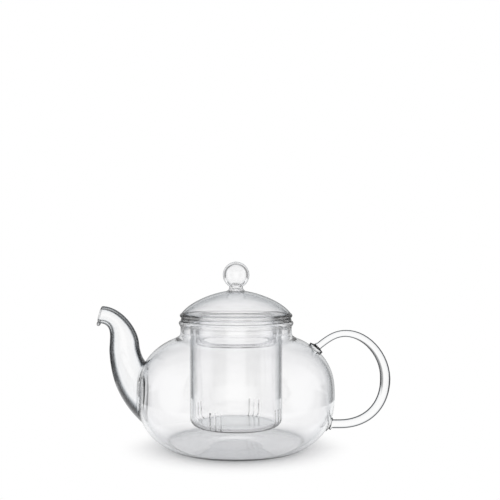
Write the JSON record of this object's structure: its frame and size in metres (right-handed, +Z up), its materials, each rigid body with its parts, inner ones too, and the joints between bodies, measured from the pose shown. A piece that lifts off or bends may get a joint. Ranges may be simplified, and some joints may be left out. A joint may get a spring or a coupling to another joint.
{
  "type": "teapot",
  "caption": "Clear glass teapot with a gooseneck spout, a looped rod handle, a lift-out slotted infuser and a domed lid with a ball knob.",
  "frame": {"origin": "centre of the flat base, on the axis of the bowl", "axes": "+Z up along the axis of the bowl, +X from the axis towards the handle, the spout towards -X"},
  "size_m": [0.2341, 0.157, 0.1471],
  "materials": {
    "clear_glass": "smooth clear borosilicate glass, mouth blown and fire polished",
    "thick_glass": "the same clear glass where it is melted into thick rims, rods, welds and the knob"
  },
  "bodies": {
    "pot": {"pot_bowl": "clear_glass", "pot_neck": "clear_glass", "pot_spout": "clear_glass", "spout_weld": "thick_glass", "pot_handle": "thick_glass", "handle_upper_weld": "thick_glass", "handle_lower_weld": "thick_glass"},
    "infuser": {"infuser_cup": "clear_glass", "infuser_flange": "thick_glass"},
    "lid": {"lid_dome": "clear_glass", "lid_skirt": "clear_glass", "lid_knob": "thick_glass"}
  },
  "joints": [
    {"name": "infuser_lift", "type": "slide", "parent": "pot", "child": "infuser", "axis": [0, 0, 1], "range_m": [0, 0.124]},
    {"name": "lid_lift", "type": "slide", "parent": "infuser", "child": "lid", "axis": [0, 0, 1], "range_m": [0, 0.062]}
  ]
}
